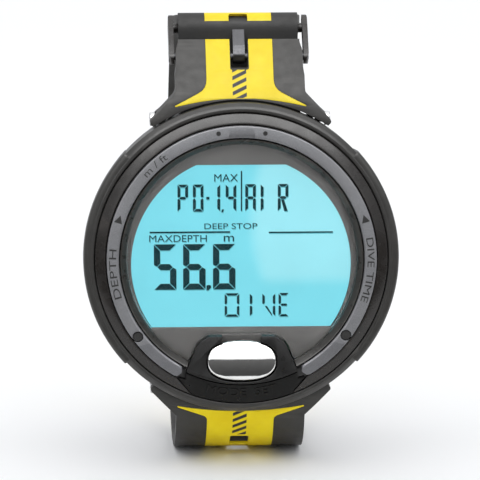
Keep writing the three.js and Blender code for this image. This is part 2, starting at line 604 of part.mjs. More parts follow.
// The prong lies from the hinge pin to the outer side of the far bar.
const prongReach = barDistance - 0.4;
const prong = sideProfile([
  inBuckle(-1.3, -1.2), inBuckle(-1.6, 0.2), inBuckle(-0.8, 1.6), inBuckle(1.6, 2.1),
  inBuckle(prongReach - 1.5, 2.45), inBuckle(prongReach, 2.2), inBuckle(prongReach, 1.5),
  inBuckle(3.2, 0.5), inBuckle(1.3, -1.2),
], 1.35).subtract(rodX(hinge.radius + gap, -30, 30, hinge.y, hinge.z));
add("buckle_prong", prong, colours.bezel, 0.35, 0.6);

export default group;
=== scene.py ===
"""A wrist dive computer on its buckled rubber strap, dressed over its CAD frame.

Shapes are made in millimetres and scaled to metres when they are placed. The origin is the centre of
the case's flat back, the face looks along -Y and twelve o'clock is +Z, so a depth is a y value, more
negative nearer the front. Angles on the face run from three o'clock towards twelve.
"""

import math

import bmesh
import bpy
import numpy as np
from mathutils import Matrix, Vector


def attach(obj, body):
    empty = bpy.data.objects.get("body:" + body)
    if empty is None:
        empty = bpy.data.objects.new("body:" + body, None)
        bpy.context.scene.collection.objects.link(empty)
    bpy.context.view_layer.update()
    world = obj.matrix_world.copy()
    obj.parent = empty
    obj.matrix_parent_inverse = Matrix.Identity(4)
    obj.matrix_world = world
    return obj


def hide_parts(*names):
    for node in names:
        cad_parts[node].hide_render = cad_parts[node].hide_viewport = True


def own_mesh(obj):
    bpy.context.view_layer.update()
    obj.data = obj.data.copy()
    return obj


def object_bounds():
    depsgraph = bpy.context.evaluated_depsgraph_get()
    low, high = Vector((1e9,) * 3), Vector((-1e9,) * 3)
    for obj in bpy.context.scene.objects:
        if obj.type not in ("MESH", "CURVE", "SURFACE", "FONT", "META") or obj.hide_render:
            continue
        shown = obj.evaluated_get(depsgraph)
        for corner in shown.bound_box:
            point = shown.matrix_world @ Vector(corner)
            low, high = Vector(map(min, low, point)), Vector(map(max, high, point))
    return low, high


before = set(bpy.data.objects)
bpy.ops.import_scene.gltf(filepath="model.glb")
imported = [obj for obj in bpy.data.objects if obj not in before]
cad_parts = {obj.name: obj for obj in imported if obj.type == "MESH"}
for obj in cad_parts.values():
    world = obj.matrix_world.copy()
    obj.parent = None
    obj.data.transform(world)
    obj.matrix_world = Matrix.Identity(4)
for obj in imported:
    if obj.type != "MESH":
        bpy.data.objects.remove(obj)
cad_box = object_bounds()

# ---- the frame's dimensions, as in part.mjs ----
GAP = 0.3
CASE_RADIUS, GUARD_RADIUS, GUARD_HALF_ANGLE = 35.6, 36.0, 42.5
RIM_RADIUS, RIM_INNER, RIM_FRONT = 34.8, 33.6, -15.7
SIDE_FRONT, BACK_BEVEL, CASE_BACK_RADIUS = -14.4, -5.5, 35.1
RING_SEAT, LENS_LEDGE, LENS_STEP = -14.4, -13.3, -15.2
BEZEL_OUTER, BEZEL_INNER = 33.3, 30.9
TRIM_OUTER, TRIM_INNER, TRIM_FRONT, TRIM_END = 30.7, 27.95, -18.2, 28
SURROUND_RADIUS = 28.75
BUTTON_Z, BUTTON_WIDTH, BUTTON_HEIGHT, BUTTON_FRONT, BUTTON_BACK = -23.4, 15.7, 9.2, -17.9, -15.2
SPRING_BACK = -13.05
LCD_FRONT, DISPLAY_CENTRE = -13.3, -1.6
CAP_RADIUS, SENSOR_Z = 14.0, 21.0
STRAP_HALF, TONGUE_HALF, INLAY_HALF, INLAY_THICKNESS = 14.75, 13.7, 7.65, 0.8
PIN_Y, PIN_Z = -7.0, 31.0
HINGE = Vector((-2.25, 44.65))
FAR_BAR = Vector((4.4, 50.4))
FRAME_HALF, FRAME_ARM = 16.0, 1.2
TAIL_HALF = 13.7
ROUND = 192


# ---- shapes ----
def raw(vertices, faces):
    """A mesh object in millimetres, its doubled points merged and its faces turned outwards."""
    mesh = bpy.data.meshes.new("shape")
    mesh.from_pydata([tuple(v) for v in vertices], [], faces)
    clean(mesh)
    obj = bpy.data.objects.new("shape", mesh)
    bpy.context.scene.collection.objects.link(obj)
    return obj


def clean(mesh, distance=1e-4):
    edit = bmesh.new()
    edit.from_mesh(mesh)
    bmesh.ops.remove_doubles(edit, verts=edit.verts, dist=distance)
    bmesh.ops.dissolve_degenerate(edit, edges=edit.edges, dist=distance)
    bmesh.ops.recalc_face_normals(edit, faces=edit.faces)
    edit.to_mesh(mesh)
    edit.free()


def loft(sections, loop=False):
    """A skin through closed sections with the same number of points, its ends closed unless it is a loop."""
    count = len(sections[0])
    vertices = [p for section in sections for p in section]
    faces = []
    for i in range(len(sections) if loop else len(sections) - 1):
        a, b = i * count, (i + 1) % len(sections) * count
        faces += [(a + j, a + (j + 1) % count, b + (j + 1) % count, b + j) for j in range(count)]
    if not loop:
        faces.append(tuple(range(count)))
        faces.append(tuple(range(len(vertices) - count, len(vertices))))
    return raw(vertices, faces)


def fillet(corners, steps=4):
    """A closed outline with rounded corners: a corner is (u, v), or (u, v, radius) to round it."""
    line = []
    for i, corner in enumerate(corners):
        point = Vector(corner[:2])
        if len(corner) == 2:
            line.append(point)
            continue
        before = Vector(corners[i - 1][:2]) - point
        after = Vector(corners[(i + 1) % len(corners)][:2]) - point
        half = before.angle(after) / 2
        reach = min(corner[2] / math.tan(half), 0.49 * before.length, 0.49 * after.length)
        start, end = before.normalized() * reach, after.normalized() * reach
        for k in range(steps + 1):
            t = k / steps
            line.append(point + start * (1 - t) ** 2 + end * t**2)
    return [tuple(p) for p in line]


def polar(radius, degrees, depth):
    a = math.radians(degrees)
    return radius * math.cos(a), depth, radius * math.sin(a)


def revolve(profile, steps=ROUND, x=0, z=0):
    """A closed (radius, depth) profile turned about a line along Y; a function gives one per angle."""
    made = profile if callable(profile) else lambda degrees: profile
    rows = [[polar(r, 360 * i / steps, y) for r, y in made(360 * i / steps)] for i in range(steps)]
    return moved(loft(rows, loop=True), x, 0, z)


def sector(profile, start, end, steps=96):
    """Part of a turned ring, between two angles."""
    made = profile if callable(profile) else lambda degrees: profile
    angles = [start + (end - start) * i / steps for i in range(steps + 1)]
    return loft([[polar(r, a, y) for r, y in made(a)] for a in angles])


def prism(outline, front, back):
    """An outline in x and z between two depths."""
    return loft([[(x, y, z) for x, z in fillet(outline)] for y in (front, back)])


def sweep(profile, left, right):
    """A closed (depth, z) profile from one x to another."""
    return loft([[(x, y, z) for y, z in fillet(profile)] for x in (left, right)])


def circle(radius, steps, u=0, v=0):
    return [
        (u + radius * math.cos(2 * math.pi * i / steps), v + radius * math.sin(2 * math.pi * i / steps))
        for i in range(steps)
    ]


def disc(radius, front, back, x=0, z=0, steps=48):
    return prism(circle(radius, steps, x, z), front, back)


def rod(radius, left, right, y, z, steps=40):
    return sweep(circle(radius, steps, y, z), left, right)


def block(x0, x1, y0, y1, z0, z1):
    return prism([(x0, z0), (x1, z0), (x1, z1), (x0, z1)], y0, y1)


def moved(obj, x=0, y=0, z=0):
    obj.data.transform(Matrix.Translation((x, y, z)))
    return obj


def mirrored(corners):
    """An outline from the corners of its right half, top to bottom."""
    return [*corners, *[(-c[0], *c[1:]) for c in reversed(corners)]]


def oval(width, height, z, steps=96, fullness=2.45):
    """A rounded outline between an ellipse and a rectangle, lying along x."""
    line = []
    for i in range(steps):
        c, s = math.cos(2 * math.pi * i / steps), math.sin(2 * math.pi * i / steps)
        line.append((math.copysign(abs(c) ** (2 / fullness), c) * width / 2,
                     z + math.copysign(abs(s) ** (2 / fullness), s) * height / 2))
    return line


def applied(obj):
    """obj with its modifiers made part of its mesh."""
    graph = bpy.context.evaluated_depsgraph_get()
    mesh = bpy.data.meshes.new_from_object(obj.evaluated_get(graph))
    obj.modifiers.clear()
    obj.data = mesh
    return obj


def combine(obj, operation, *tools):
    for tool in tools:
        modifier = obj.modifiers.new("combine", "BOOLEAN")
        modifier.operation, modifier.solver, modifier.object = operation, "EXACT", tool
        applied(obj)
        bpy.data.objects.remove(tool)
    clean(obj.data, 0.003)
    return obj


def cut(obj, *tools):
    return combine(obj, "DIFFERENCE", *tools)


def keep(obj, *tools):
    return combine(obj, "INTERSECT", *tools)


def join(obj, *tools):
    return combine(obj, "UNION", *tools)


def bevel(obj, width, angle=40, segments=2):
    """Rounds the edges that turn by more than the angle."""
    modifier = obj.modifiers.new("bevel", "BEVEL")
    modifier.width, modifier.segments = width, segments
    modifier.limit_method, modifier.angle_limit = "ANGLE", math.radians(angle)
    modifier.use_clamp_overlap, modifier.miter_outer = True, "MITER_ARC"
    return applied(obj)


def together(*parts):
    """Several shapes as one mesh."""
    edit = bmesh.new()
    for part in parts:
        edit.from_mesh(part.data)
    edit.to_mesh(parts[0].data)
    edit.free()
    for part in parts[1:]:
        bpy.data.objects.remove(part)
    return parts[0]


def place(obj, name, material, body="root", replaces=(), crease=32):
    """Scales a finished shape to metres, paints it and makes it ride on its body."""
    obj.name = obj.data.name = name
    obj.data.transform(Matrix.Scale(0.001, 4))
    obj.data.materials.clear()
    obj.data.materials.append(material)
    obj.data.polygons.foreach_set("use_smooth", [True] * len(obj.data.polygons))
    obj.data.set_sharp_from_angle(angle=math.radians(crease))
    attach(obj, body)
    if replaces:
        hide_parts(*([replaces] if isinstance(replaces, str) else replaces))
    return obj


# ---- paints ----
class Paint:
    """A procedural material: grain, masks and bumps feeding one Principled shader."""

    def __init__(self, name, slot, **fixed):
        self.material = bpy.data.materials.new(name)
        self.material.use_nodes = True
        self.material["slot"] = slot
        self.tree = self.material.node_tree
        self.shader = self.tree.nodes["Principled BSDF"]
        self.place = self.node("ShaderNodeTexCoord").outputs["Object"]
        for socket, value in fixed.items():
            self.shader.inputs[socket.replace("_", " ")].default_value = value

    def node(self, kind, values=(), **settings):
        made = self.tree.nodes.new(kind)
        for key, value in settings.items():
            setattr(made, key, value)
        for key, value in dict(values).items():
            if isinstance(value, bpy.types.NodeSocket):
                self.tree.links.new(value, made.inputs[key])
            else:
                made.inputs[key].default_value = value
        return made

    def noise(self, size, detail=3.0, stretch=(1, 1, 1)):
        """Grain with features about `size` millimetres across."""
        at = self.node("ShaderNodeMapping", {"Vector": self.place, "Scale": stretch}).outputs[0]
        values = {"Vector": at, "Scale": 1000 / size, "Detail": detail}
        return self.node("ShaderNodeTexNoise", values).outputs["Fac"]

    def specks(self, size):
        """A random value for each cell about `size` millimetres across."""
        cells = self.node("ShaderNodeTexVoronoi", {"Vector": self.place, "Scale": 1000 / size})
        return self.node("ShaderNodeSeparateColor", {"Color": cells.outputs["Color"]}).outputs[0]

    def remap(self, value, low, high, start=0.3, end=0.7, smooth=False):
        kind = "SMOOTHSTEP" if smooth else "LINEAR"
        values = {"Value": value, "From Min": start, "From Max": end, "To Min": low, "To Max": high}
        return self.node("ShaderNodeMapRange", values, interpolation_type=kind).outputs[0]

    def maths(self, operation, first, second=0.0):
        return self.node("ShaderNodeMath", {0: first, 1: second}, operation=operation).outputs[0]

    def axis(self, letter):
        """One of the piece's own coordinates, in millimetres."""
        split = self.node("ShaderNodeSeparateXYZ", {"Vector": self.place})
        return self.maths("MULTIPLY", split.outputs[letter], 1000)

    def within(self, value, low, high, soft=0.05):
        """1 between two values and 0 outside them."""
        above = self.remap(value, 0, 1, low - soft, low + soft)
        below = self.remap(value, 1, 0, high - soft, high + soft)
        return self.maths("MULTIPLY", above, below)

    def mixed(self, amount, first, second):
        colours = {0: amount}
        for key, value in ((6, first), (7, second)):
            colours[key] = value if isinstance(value, bpy.types.NodeSocket) else (*value, 1)
        return self.node("ShaderNodeMix", colours, data_type="RGBA").outputs[2]

    def worn(self):
        """1 on edges that stick out, 0 elsewhere."""
        return self.remap(self.node("ShaderNodeNewGeometry").outputs["Pointiness"], 0, 1, 0.52, 0.6)

    def feed(self, socket, value):
        self.tree.links.new(value, self.shader.inputs[socket])
        return self

    def bump(self, *layers):
        """Bumps from (height, depth in millimetres) layers, one on another."""
        normal = None
        for height, depth in layers:
            values = {"Height": height, "Distance": depth / 1000}
            if normal is not None:
                values["Normal"] = normal
            normal = self.node("ShaderNodeBump", values).outputs[0]
        return self.feed("Normal", normal)


def shade(colour, factor):
    return tuple(c * factor for c in colour)


def moulded(name, slot, colour, rough, grain=0.35, depth=0.02, edge=1.8, **fixed):
    """Moulded plastic or rubber: fine texture, uneven sheen, paler where edges rub."""
    paint = Paint(name, slot, **fixed)
    body = paint.mixed(paint.remap(paint.noise(6), 0, 1), shade(colour, 0.86), shade(colour, 1.14))
    paint.feed("Base Color", paint.mixed(paint.worn(), body, shade(colour, edge)))
    paint.feed("Roughness", paint.remap(paint.noise(2.2), rough - 0.06, rough + 0.07))
    paint.bump((paint.noise(grain, 4), depth), (paint.noise(3), depth * 1.5))
    return paint


def metal(name, slot, colour, rough, brush=(1, 1, 1), depth=0.006, **fixed):
    """Bare metal with faint machining lines."""
    paint = Paint(name, slot, Metallic=1.0, **fixed)
    tone = paint.remap(paint.noise(1.5), 0, 1)
    paint.feed("Base Color", paint.mixed(tone, shade(colour, 0.9), colour))
    paint.feed("Roughness", paint.remap(paint.noise(0.5, 2, brush), rough * 0.75, rough * 1.35))
    paint.bump((paint.noise(0.3, 2, brush), depth))
    return paint


CASING = moulded("casing_grey", "casing", (0.034, 0.032, 0.029), 0.36, 0.3, 0.014).material
BEZEL = moulded("bezel_black", "bezel", (0.018, 0.015, 0.013), 0.27, 0.6, 0.005).material
HORSESHOE = moulded("horseshoe_black", "black_plastic", (0.016, 0.0155, 0.015), 0.3, 0.5, 0.006, Specular_IOR_Level=0.35).material
PLATE = moulded("plate_black", "black_plastic", (0.006, 0.0056, 0.005), 0.33, 0.4, 0.006, Specular_IOR_Level=0.2).material
RETAINER = moulded("retainer_black", "black_plastic", (0.03, 0.027, 0.023), 0.3, 0.8, 0.004).material
MASK = moulded("mask_grey", "black_plastic", (0.11, 0.105, 0.1), 0.5, 0.5, 0.008, edge=1.0).material
STRAP_TONE = (0.032, 0.03, 0.027)
RUBBER = moulded("strap_black", "strap_rubber", STRAP_TONE, 0.6, 0.45, 0.03, edge=1.4).material
SEAL = moulded("seal_black", "seal_rubber", (0.016, 0.016, 0.016), 0.55, 0.3, 0.01).material
CHIP = moulded("chip_black", "black_plastic", (0.02, 0.02, 0.021), 0.45, 0.2, 0.01).material
DIFFUSER = moulded("diffuser_white", "diffuser", (0.72, 0.8, 0.82), 0.5, 1.0, 0.01, edge=1.0).material
BOARD = moulded("board_green", "board", (0.012, 0.14, 0.05), 0.35, 1.2, 0.02, edge=1.2).material
STEEL = metal("steel", "steel", (0.62, 0.62, 0.62), 0.24).material
DARK_STEEL = metal("dark_steel", "stud", (0.09, 0.09, 0.095), 0.4).material
BRASS = metal("brass", "brass", (0.6, 0.44, 0.2), 0.3).material
CHROME = metal("button_chrome", "button_chrome", (0.93, 0.92, 0.9), 0.045, depth=0.0006).material
PRINT = moulded("print_dark", "black_plastic", (0.018, 0.017, 0.016), 0.45, 0.2, 0.004, edge=1.0).material


def tail_rubber():
    """The long half's rubber, matt like the short half, with painted shade: its base colour is darker where it
    turns over the far bar, standing in for the shadow there.
    """
    paint = moulded("strap_tail", "strap_rubber", STRAP_TONE, 0.6, 0.45, 0.03, edge=1.4)
    # Painted shade: above z 47 mm and in front of the far bar, the base colour is darkened.
    roll_painted_shade = paint.maths("MULTIPLY", paint.remap(paint.axis("Z"), 0, 1, 44, 47),
                         paint.remap(paint.axis("Y"), 1, 0, 4.5, 7.5))
    plain = paint.shader.inputs["Base Color"].links[0].from_socket
    paint.feed("Base Color", paint.mixed(roll_painted_shade, plain, (0.0045, 0.0038, 0.003)))
    return paint.material


def silver_paint():
    """Metallic paint with fine flake. The ring's two lower ends are a darker shade, past a slanted line."""
    paint = Paint("silver_paint", "silver_ring", Metallic=0.35, Coat_Weight=0.1)
    paint.shader.inputs["Coat Roughness"].default_value = 0.2
    x, z = paint.axis("X"), paint.axis("Z")
    side = paint.maths("ABSOLUTE", x)
    slant = paint.maths("ADD", z, paint.maths("MULTIPLY", side, 0.27))
    upper = paint.remap(slant, 0, 1, -13.4, -13.25)
    flake = paint.remap(paint.specks(0.12), 0.82, 1.12, 0, 1)
    cloud = paint.remap(paint.noise(9), 0.93, 1.05)
    light = paint.mixed(upper, (0.19, 0.19, 0.2), (0.25, 0.25, 0.26))
    tone = paint.maths("MULTIPLY", flake, cloud)
    toned = paint.node("ShaderNodeVectorMath", {0: light, 1: tone}, operation="MULTIPLY").outputs[0]
    paint.feed("Base Color", toned)
    paint.feed("Roughness", paint.remap(paint.noise(0.8), 0.33, 0.45))
    paint.bump((paint.specks(0.12), 0.003))
    return paint.material


def display_glow():
    """The display, made to glow: its emission is painted light standing in for the lamps' light on it. Pale cyan,
    lighter up and to the right where the soft light falls on it.
    """
    paint = Paint("lcd_glow", "lcd", Roughness=0.35, Emission_Strength=1.0, Specular_IOR_Level=0.0)
    x, z = paint.axis("X"), paint.axis("Z")
    edge = paint.maths("ADD", x, paint.maths("MULTIPLY", paint.maths("POWER", paint.maths("ABSOLUTE",
        paint.maths("SUBTRACT", z, 9)), 2.0), -0.012))
    right = paint.remap(edge, 0, 1, 0.5, 4.5, smooth=True)
    high = paint.remap(z, 0, 1, -7.5, -3.5, smooth=True)
    # Painted highlight: the glare is a lighter patch of emission up and to the right.
    glare = paint.maths("MULTIPLY", right, high)
    glow = paint.mixed(glare, (0.20, 0.68, 0.79), (0.31, 0.745, 0.83))
    grain = paint.remap(paint.noise(0.35, 2), 0.965, 1.03)
    cloud = paint.remap(paint.noise(14), 0.96, 1.03)
    tone = paint.maths("MULTIPLY", grain, cloud)
    toned = paint.node("ShaderNodeVectorMath", {0: glow, 1: tone}, operation="MULTIPLY").outputs[0]
    # Painted light: the display's colour is emitted, not lit by the lamps.
    paint.feed("Emission Color", toned)
    paint.feed("Base Color", paint.mixed(glare, (0.02, 0.06, 0.07), (0.03, 0.07, 0.08)))
    return paint.material


def display_ink(name, colour):
    """What the liquid crystal shows, or the painted shadow that the segments cast on the display, a little uneven
    in strength. Its emission is painted light, like the display's glow.
    """
    paint = Paint(name, "lcd", Roughness=0.5, Emission_Strength=1.0, Specular_IOR_Level=0.0)
    tone = paint.remap(paint.noise(1.2), 0, 1)
    paint.feed("Emission Color", paint.mixed(tone, shade(colour, 0.85), shade(colour, 1.15)))
    paint.feed("Base Color", paint.mixed(tone, (0.004, 0.008, 0.009), (0.007, 0.012, 0.013)))
    return paint.material


def lens_glass():
    paint = Paint("lens_glass", "lens_glass", Transmission_Weight=1.0, IOR=1.2)
    paint.feed("Base Color", paint.mixed(paint.remap(paint.noise(12), 0, 1), (0.985, 0.99, 0.99), (1, 1, 1)))
    paint.feed("Roughness", paint.remap(paint.noise(5), 0.0, 0.015))
    return paint.material


def strap_yellow():
    """Soft yellow rubber, printed with slanted dark bars where the case ends."""
    paint = Paint("yellow_rubber", "yellow_rubber", Subsurface_Weight=0.06, Specular_IOR_Level=0.3)
    paint.shader.inputs["Subsurface Radius"].default_value = (0.001, 0.0008, 0.0003)
    x, z = paint.axis("X"), paint.axis("Z")
    base = paint.mixed(paint.remap(paint.noise(5), 0, 1), (0.9, 0.68, 0.004), (0.98, 0.78, 0.012))
    bars = paint.maths("FRACT", paint.maths("MULTIPLY", paint.maths("SUBTRACT", z, paint.maths("MULTIPLY", x, 0.45)), 0.62))
    bar = paint.within(bars, 0.28, 0.78, 0.03)
    column = paint.within(x, -1.75, 1.45)
    reach = paint.maths("ABSOLUTE", z)
    rows = paint.within(reach, 36.2, 42.6)
    front = paint.remap(paint.axis("Y"), 1, 0, -3.2, -3.0)
    ink = paint.maths("MULTIPLY", paint.maths("MULTIPLY", bar, column), paint.maths("MULTIPLY", rows, front))
    paint.feed("Base Color", paint.mixed(ink, base, (0.025, 0.028, 0.04)))
    paint.feed("Roughness", paint.remap(paint.noise(1.6), 0.42, 0.56))
    paint.bump((paint.noise(0.5, 4), 0.02), (paint.noise(3.5), 0.03))
    return paint.material


TAIL_RUBBER = tail_rubber()
SILVER, GLOW, GLASS, YELLOW = silver_paint(), display_glow(), lens_glass(), strap_yellow()
INK = display_ink("lcd_ink", (0.002, 0.024, 0.03))
SHADOW = display_ink("lcd_shadow", (0.13, 0.5, 0.59))


# ---- case ----
body = revolve(fillet([
    (0, 0), (31.0, 0, 1.5), (33.6, -1.1, 1.5), (34.7, -3.0, 1.5), (CASE_BACK_RADIUS, BACK_BEVEL, 1.0),
    (CASE_RADIUS, SIDE_FRONT, 0.7), (RIM_RADIUS, -15.3, 0.4), (RIM_RADIUS - 0.5, RIM_FRONT, 0.3),
    (RIM_INNER, RIM_FRONT, 0.15), (RIM_INNER, RING_SEAT), (28.9, RING_SEAT), (28.9, LENS_LEDGE),
    (26.5, LENS_LEDGE), (26.5, -2), (0, -2),
]))


def guard(centre):
    """A grip along one side of the case, standing a little proud of it."""
    return bevel(sector(fillet([
        (RIM_RADIUS - 1, -15.6), (GUARD_RADIUS, -15.6, 1.2), (GUARD_RADIUS, -12.6, 3),
        (GUARD_RADIUS - 0.7, -5.6, 0.8), (RIM_RADIUS - 1, -5.5),
    ]), centre - GUARD_HALF_ANGLE, centre + GUARD_HALF_ANGLE), 0.25, 60)


def surround_outline(grow, bottom):
    """The horseshoe round the button, grown outwards."""
    return mirrored([
        (7.6 + grow / 2, -17.7 + grow, 1.6), (9.9 + grow, -19.3 + grow / 2, 2.6),
        (12.5 + grow, -25.2, 5), (13.4 + grow, bottom),
    ])


def strap_pocket(side):
    ends = sorted((side * 27.5, side * 40))
    return block(-TONGUE_HALF - GAP, TONGUE_HALF + GAP, PIN_Y - 3.5, PIN_Y + 3.5, *ends)


def pin_bores(side):
    z = side * PIN_Z
    return [rod(1.2, -40, 40, PIN_Y, z), rod(1.9, 19, 30, PIN_Y, z), rod(1.9, -30, -19, PIN_Y, z)]


join(body, guard(0), guard(180), prism(surround_outline(0, -26.2), -14.2, -10.8), disc(15.8, -6.6, -1.5))
cut(
    body, strap_pocket(1), strap_pocket(-1), *pin_bores(1), *pin_bores(-1),
    disc(CAP_RADIUS + GAP, -2.6, 1, steps=128), disc(13.15, -6, 1, steps=96),
    disc(3.4, -15, -12.6, 0, BUTTON_Z), disc(1.7, -15, -10, 0, BUTTON_Z),
    disc(4.9, -1.2, 1, 0, SENSOR_Z), disc(2.2, -3, 1, 0, SENSOR_Z),
)
place(bevel(body, 0.12, 50), "case", CASING, replaces="case_body")

# ---- front rings ----
bezel = revolve(fillet([
    (BEZEL_INNER, RING_SEAT - GAP), (BEZEL_OUTER, RING_SEAT - GAP), (BEZEL_OUTER, -15.9, 0.3),
    (BEZEL_INNER, -17.2, 0.35),
]))
cut(bezel, prism(mirrored([(15.5, -20), (15.3, -26.8), (11.4, -31.5), (11.4, -40)]), -20, 5))
place(bevel(bezel, 0.15, 50), "bezel", BEZEL, replaces="front_bezel")


def trim_front(radius):
    """Depth of the silver ring's face, which slopes back towards its outside."""
    return TRIM_FRONT + max(0.0, radius - TRIM_INNER - 0.7) * 0.05


def trim_profile(degrees):
    """The silver ring narrows to a rounded end on each side of the button."""
    to_end = abs((degrees + 90) % 360 - 180)
    left = max(0.0, 180 - TRIM_END - to_end) * math.radians(29.3)
    pinch = 1.0 - math.sqrt(max(0.0, 1 - (1 - min(1.0, left / 1.3)) ** 2))
    inner, outer = TRIM_INNER + 1.1 * pinch, TRIM_OUTER - 1.3 * pinch
    return fillet([
        (TRIM_INNER + 0.95, RING_SEAT - GAP), (outer, RING_SEAT - GAP), (outer, trim_front(outer) - 0.02, 0.25),
        (inner + 0.35, TRIM_FRONT, 0.35), (inner, TRIM_FRONT + 0.3, 0.2), (inner, LENS_STEP - GAP),
        (TRIM_INNER + 0.95, LENS_STEP - GAP),
    ])


trim = sector(trim_profile, TRIM_END - 90, 270 - TRIM_END, 300)
cut(trim, block(-2.9, 2.9, -20, -17.75, 27, 28.75))
cut(trim, *[disc(1.25, -20, -16.6, side * 23.7, -17.5) for side in (1, -1)])
place(bevel(trim, 0.08, 50), "trim_band", SILVER, replaces="trim_ring")
for side, name in ((1, "right"), (-1, "left")):
    stud = revolve(fillet([(0, -17.95), (1.0, -17.95, 0.25), (1.0, -16.9), (0, -16.9)]), 48, side * 23.7, -17.5)
    place(stud, f"stud_{name}", DARK_STEEL, replaces=f"contact_stud_{name}")

retainer = revolve(fillet([
    (26.35, LENS_STEP - GAP), (27.65, LENS_STEP - GAP), (27.65, TRIM_FRONT, 0.15), (26.35, -16.7, 0.12),
]))
cut(retainer, prism(surround_outline(GAP, -40), -20, -13.5))
place(retainer, "retainer", RETAINER, replaces="lens_retainer")

glass = revolve(fillet([
    (0, -16.3), (26.05, -16.3, 0.25), (26.05, LENS_STEP), (27.2, LENS_STEP), (27.2, -14.3), (0, -14.3),
]))
cut(glass, prism(surround_outline(GAP, -40), -20, -13.5))
place(glass, "lens_window", GLASS, replaces="lens")


# ---- display ----
def display_outline(radius, top, bottom, steps=72):
    """A disc about the display's centre, cut flat at the top and the bottom."""
    low = math.asin((bottom - DISPLAY_CENTRE) / radius)
    high = math.asin((top - DISPLAY_CENTRE) / radius)
    right = [low + (high - low) * i / steps for i in range(steps + 1)]
    half = [(radius * math.cos(a), DISPLAY_CENTRE + radius * math.sin(a)) for a in right]
    return half + [(-x, z) for x, z in reversed(half)]


mask = disc(27.0, -14.0, -13.6, steps=144)
cut(mask, prism(display_outline(25.05, 21.3, -16.0), -15, -13), prism(surround_outline(GAP, -40), -15, -13))
place(bevel(mask, 0.08, 60), "mask", MASK, replaces="display_mask")
panel = bevel(prism(display_outline(25.0, 22.4, -17.2), LCD_FRONT, -11.7), 0.1, 60)
place(panel, "lcd_plate", GLOW, replaces="lcd_panel")

ink_front = LCD_FRONT - 0.05


def character(segments, left, bottom, width, height, stroke, space):
    """The lit segments of one character, named as on a seven-segment digit, with k for a lower diagonal."""
    s, k, right, top = stroke, space, left + width, bottom + height
    middle, h = bottom + height / 2, stroke / 2

    def upright(x, end, way):
        """A side segment, from its mitred corner to its point at the middle; x is its outer edge."""
        inner = x + way * s
        up = 1 if end > middle else -1
        return [(x, end - up * k), (inner, end - up * (s + k)), (inner, middle + up * (h + k)),
                (x + way * h, middle + up * k), (x, middle + up * (0.6 * h + k))]

    def level(z, way):
        return [(left + k, z), (right - k, z), (right - s - k, z - way * s), (left + s + k, z - way * s)]

    shapes = {
        "a": level(top, 1), "d": level(bottom, -1),
        "f": upright(left, top, 1), "e": upright(left, bottom, 1),
        "b": upright(right, top, -1), "c": upright(right, bottom, -1),
        "g": [(left + h + k, middle), (left + s + k, middle + h), (right - s - k, middle + h),
              (right - h - k, middle), (right - s - k, middle - h), (left + s + k, middle - h)],
        "k": [(left + s + k, middle - h - k), (left + 2 * s + k, middle - h - k),
              (right - 0.2 * s, bottom), (right - 1.4 * s, bottom)],
        "m": [(left + s, middle - h), (left + 1.9 * s, middle - h), (right - s - k, bottom + s),
              (right - s - k, bottom + 0.1)],
    }
    return [prism(shapes[name], ink_front, ink_front + 0.02) for name in segments]


def words(text, left, bottom, height, width, rise=0.02):
    """Flat lettering facing the front, its capitals `height` tall and the line `width` long."""
    curve = bpy.data.curves.new("words", "FONT")
    curve.body, curve.extrude = text, rise
    source = bpy.data.objects.new("words", curve)
    bpy.context.scene.collection.objects.link(source)
    graph = bpy.context.evaluated_depsgraph_get()
    mesh = bpy.data.meshes.new_from_object(source.evaluated_get(graph))
    bpy.data.objects.remove(source)
    obj = bpy.data.objects.new("words", mesh)
    bpy.context.scene.collection.objects.link(obj)
    points = np.array([v.co for v in mesh.vertices])
    low, high = points.min(0), points.max(0)
    tall = 0.7 if text.islower() else high[1] - low[1]
    scale_x, scale_z = width / (high[0] - low[0]), height / tall
    for vertex in mesh.vertices:
        x, up, out = vertex.co
        vertex.co = (left + (x - low[0]) * scale_x, -out, bottom + (up - low[1]) * scale_z)
    return obj


def display_words(*args, **settings):
    return moved(words(*args, **settings), y=ink_front)


